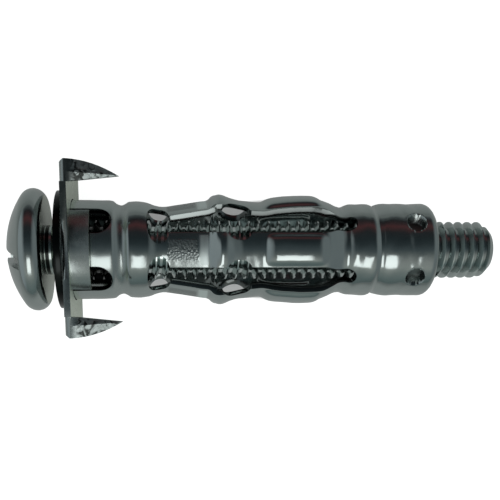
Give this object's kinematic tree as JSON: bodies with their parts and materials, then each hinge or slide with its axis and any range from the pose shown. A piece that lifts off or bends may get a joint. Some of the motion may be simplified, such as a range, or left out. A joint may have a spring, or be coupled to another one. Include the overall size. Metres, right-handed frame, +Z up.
{
  "type": "hollow wall anchor",
  "caption": "Metal hollow wall anchor lying on its back: a slotted sheet sleeve with folding legs round a pan head machine screw, behind a claw plate.",
  "frame": {"origin": "on the screw's axis, in the face of the claw plate that lies on the wall", "axes": "+X along the screw, from its head to its tip and into the wall; +Z up, on the side of the two claws, with a leg of the sleeve in the middle of it; +Y across the plate"},
  "size_m": [0.0487, 0.0162, 0.0118],
  "materials": {
    "screw_zinc": "bright blue-tinted zinc plate over rolled thread and cold-headed steel",
    "sleeve_zinc": "bright blue-tinted zinc plate over pressed sheet steel, with a grained patch on each leg",
    "plate_zinc": "blue-tinted zinc plate over stamped sheet steel, duller and scuffed on the claws",
    "nut_zinc": "zinc-plated turned steel"
  },
  "bodies": {
    "anchor": {"sleeve": "sleeve_zinc", "claw_plate": "plate_zinc", "nut": "nut_zinc"},
    "screw": {"screw": "screw_zinc"}
  },
  "joints": [
    {"name": "screw_turn", "type": "hinge", "parent": "anchor", "child": "screw", "pos_m": [0, 0, 0], "axis": [1, 0, 0], "continuous": true}
  ]
}
